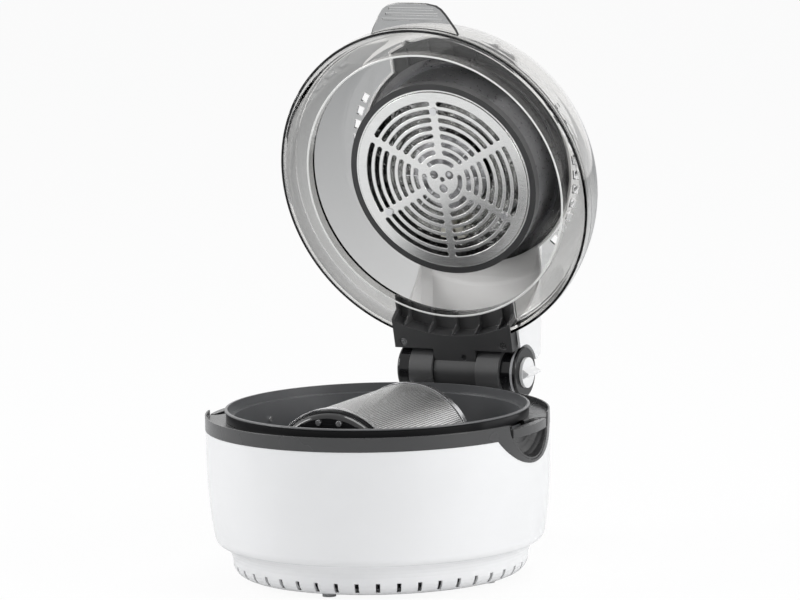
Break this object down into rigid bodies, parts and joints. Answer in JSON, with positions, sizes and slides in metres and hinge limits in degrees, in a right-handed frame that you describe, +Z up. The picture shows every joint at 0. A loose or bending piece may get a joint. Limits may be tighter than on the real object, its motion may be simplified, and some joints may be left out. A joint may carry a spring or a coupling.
{
  "type": "halogen oven",
  "caption": "Countertop halogen oven: drum-shaped base with lift-out pot and turning mesh drum, under a clear lid that holds the heater, fan and grille and swings on a locking barrel hinge.",
  "frame": {"origin": "under the middle of the outline seen from above, with the lid open, on the surface that the feet stand on; the centre of the round base is 61 mm in front of it", "axes": "+X to the right and +Y to the rear as seen from the front, +Z up"},
  "size_m": [0.33, 0.4518, 0.543],
  "materials": {
    "white_gloss": "smooth glossy white",
    "foot_grey": "matte",
    "ring_grey": "fine satin",
    "bracket_dark": "fine texture",
    "hinge_grey": "satin",
    "black_gloss": "glossy",
    "grey_gloss": "glossy",
    "pot_coat": "non-stick coating, satin",
    "steel": "brushed",
    "zinc_sheet": "plain sheet",
    "mesh_steel": "fine woven mesh",
    "clear_smoke": "smoke-tinted clear plastic",
    "frame_black": "satin",
    "ceramic": "ceramic",
    "lamp_glass": "clear quartz",
    "board_green": "circuit board",
    "screen_dark": "dark display window"
  },
  "bodies": {
    "base": {"base_shell": "white_gloss", "bottom_plate": "white_gloss", "feet": "foot_grey", "rim_ring": "ring_grey", "handle_left": "ring_grey", "handle_right": "ring_grey", "heat_liner": "zinc_sheet", "pot_pads": "foot_grey", "rear_housing": "white_gloss", "drum_motor": "zinc_sheet", "motor_plate": "zinc_sheet", "cord_inlet": "ring_grey", "terminal_block": "ceramic", "base_screws": "steel", "hinge_block": "hinge_grey", "hinge_pin": "steel", "hinge_cap": "black_gloss", "friction_washers": "steel", "hinge_neck": "black_gloss", "dial_trim": "grey_gloss", "lock_dial": "black_gloss"},
    "lock_knob": {"lock_knob": "white_gloss"},
    "lock_bolt": {"lock_bolt": "steel"},
    "drive_fork": {"drive_fork": "steel"},
    "pot": {"pot": "pot_coat", "pot_cradles": "steel", "pot_studs": "steel", "pot_bush": "ceramic"},
    "pot_coupler": {"pot_coupler": "steel"},
    "drum_bushes": {"drum_bushes": "ceramic"},
    "drum": {"drum_mesh": "mesh_steel", "drum_bands": "steel", "drum_cap_front": "black_gloss", "drum_cap_rear": "black_gloss", "drum_rivets": "steel", "drum_axles": "steel"},
    "lid": {"lid_shell": "clear_smoke", "lid_skirt": "clear_smoke", "hinge_bracket": "bracket_dark", "lid_screws": "steel", "top_cover": "white_gloss", "lid_frame": "frame_black", "heater_chamber": "steel", "reflector_plate": "steel", "grille_collar": "frame_black", "grille": "steel", "grille_standoffs": "steel", "halogen_lamp": "lamp_glass", "lamp_holders": "ceramic", "thermostat": "steel", "fan_motor": "zinc_sheet", "control_board": "board_green", "control_panel": "black_gloss", "display": "screen_dark", "tilt_switch": "ceramic"},
    "fan": {"fan_rotor": "steel"},
    "button_power": {"button_power": "grey_gloss"},
    "button_mode": {"button_mode": "grey_gloss"},
    "button_minus": {"button_minus": "grey_gloss"},
    "button_plus": {"button_plus": "grey_gloss"}
  },
  "joints": [
    {"name": "lid_hinge", "type": "hinge", "parent": "base", "child": "lid", "pos_m": [0, 0.13555, 0.1715], "axis": [-1, 0, 0], "range_deg": [-76, 0]},
    {"name": "lock_turn", "type": "hinge", "parent": "base", "child": "lock_knob", "pos_m": [0.07, 0.13555, 0.1715], "axis": [1, 0, 0], "range_deg": [0, 90]},
    {"name": "lock_slide", "type": "slide", "parent": "base", "child": "lock_bolt", "axis": [1, 0, 0], "range_m": [0, 0.0061]},
    {"name": "pot_lift", "type": "slide", "parent": "base", "child": "pot", "axis": [0, 0, 1], "range_m": [0, 0.13]},
    {"name": "drum_lift", "type": "slide", "parent": "pot", "child": "drum_bushes", "axis": [0, 0, 1], "range_m": [0, 0.12]},
    {"name": "drum_spin", "type": "hinge", "parent": "drum_bushes", "child": "drum", "pos_m": [0, -0.06095, 0.11], "axis": [0, 1, 0], "continuous": true},
    {"name": "coupler_spin", "type": "hinge", "parent": "pot", "child": "pot_coupler", "pos_m": [0, 0.07705, 0.11], "axis": [0, 1, 0], "continuous": true},
    {"name": "drive_spin", "type": "hinge", "parent": "base", "child": "drive_fork", "pos_m": [0, 0.08905, 0.11], "axis": [0, 1, 0], "continuous": true},
    {"name": "fan_spin", "type": "hinge", "parent": "lid", "child": "fan", "pos_m": [0, 0.11567, 0.36906], "axis": [0, 0.9703, 0.2419], "continuous": true},
    {"name": "press_power", "type": "slide", "parent": "lid", "child": "button_power", "axis": [0, -0.515, -0.8572], "range_m": [0, 0.001], "stiffness_N_per_m": 900, "springref_m": -0.0004},
    {"name": "press_mode", "type": "slide", "parent": "lid", "child": "button_mode", "axis": [0, -0.515, -0.8572], "range_m": [0, 0.001], "stiffness_N_per_m": 900, "springref_m": -0.0004},
    {"name": "press_minus", "type": "slide", "parent": "lid", "child": "button_minus", "axis": [0, -0.515, -0.8572], "range_m": [0, 0.001], "stiffness_N_per_m": 900, "springref_m": -0.0004},
    {"name": "press_plus", "type": "slide", "parent": "lid", "child": "button_plus", "axis": [0, -0.515, -0.8572], "range_m": [0, 0.001], "stiffness_N_per_m": 900, "springref_m": -0.0004}
  ],
  "couplings": [
    {"joint": "lock_turn", "follows": "lock_slide", "rad_per_m": 257.51},
    {"joint": "coupler_spin", "follows": "drum_spin", "ratio": 1},
    {"joint": "drive_spin", "follows": "drum_spin", "ratio": 1}
  ]
}
